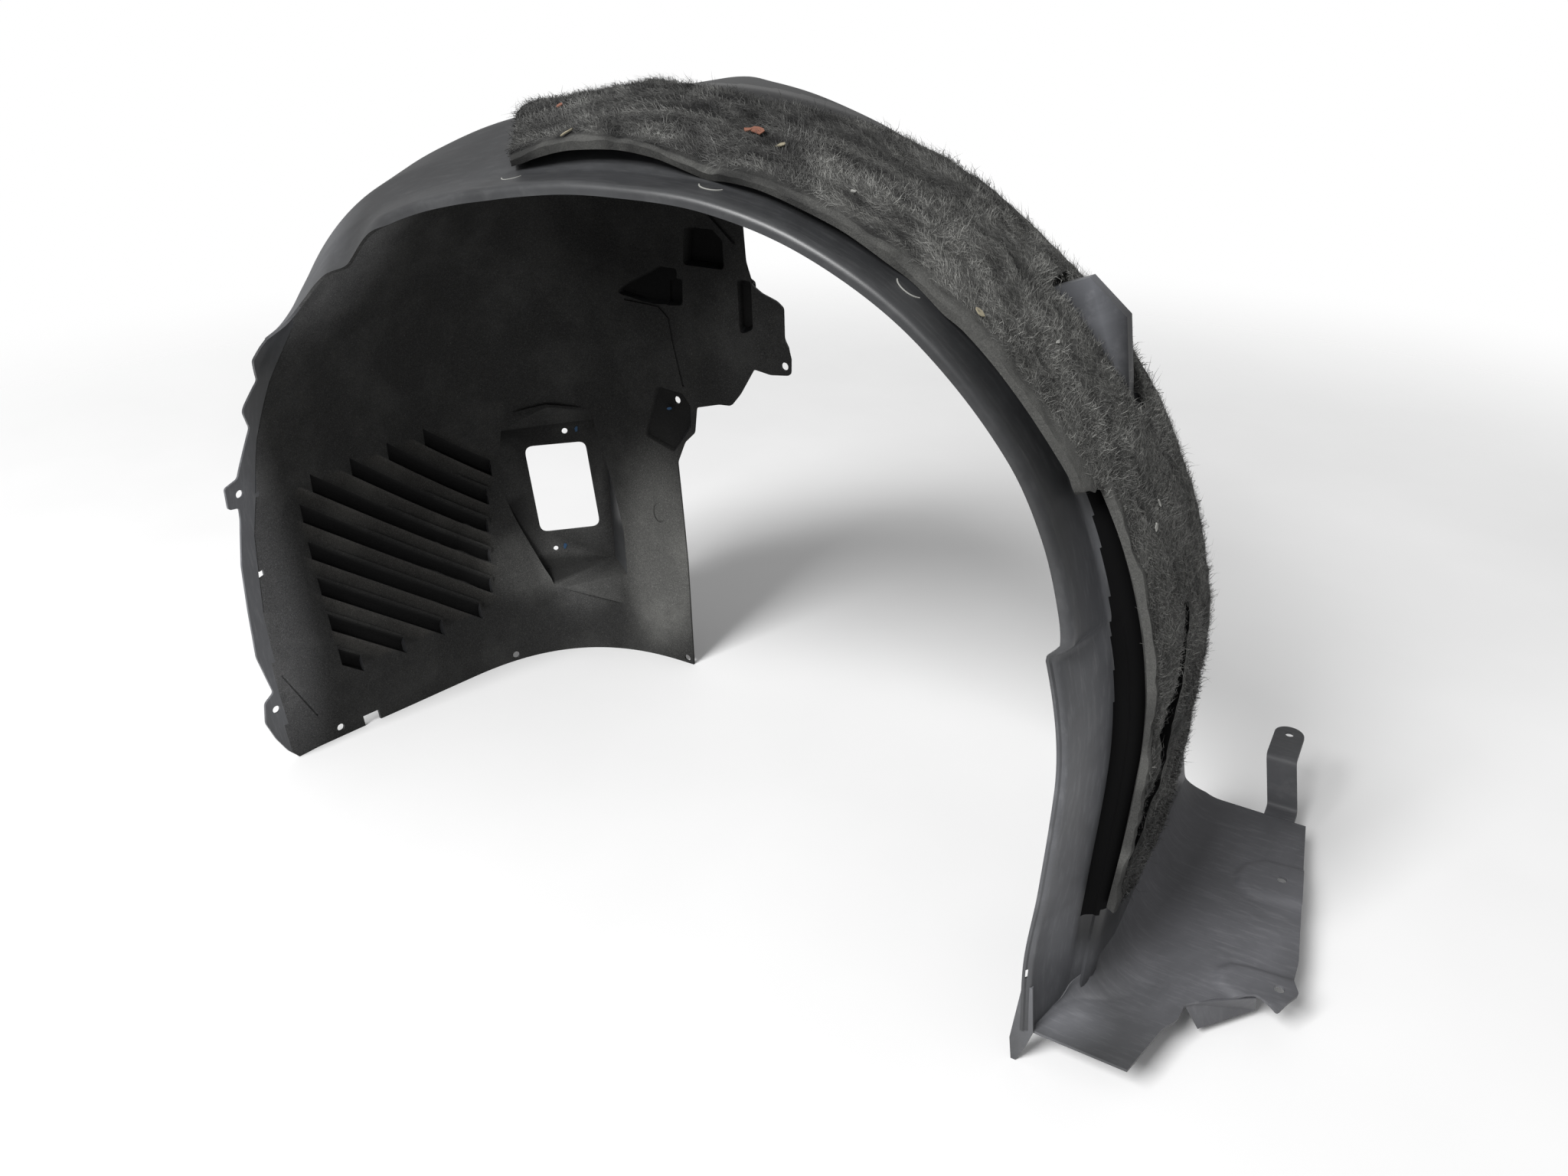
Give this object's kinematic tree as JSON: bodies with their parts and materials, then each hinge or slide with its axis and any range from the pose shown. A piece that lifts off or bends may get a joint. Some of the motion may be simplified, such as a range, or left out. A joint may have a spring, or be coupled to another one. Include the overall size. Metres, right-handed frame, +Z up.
{
  "type": "wheel arch liner",
  "caption": "Moulded wheel arch liner with a ribbed front wall, a side window, a flanged outer lip, a rear mounting plate and an acoustic fleece over its crown.",
  "frame": {"origin": "on the floor under the middle of the part's box", "axes": "+X to the rear of the car, +Y inboard from the outer lip, +Z up"},
  "size_m": [1.0333, 0.4926, 0.6984],
  "materials": {
    "moulding": "satin outside, black needle felt bonded inside",
    "fleece": "coarse hairy fleece"
  },
  "bodies": {
    "root": {"liner_shell": "moulding", "acoustic_fleece": "fleece"}
  },
  "joints": []
}
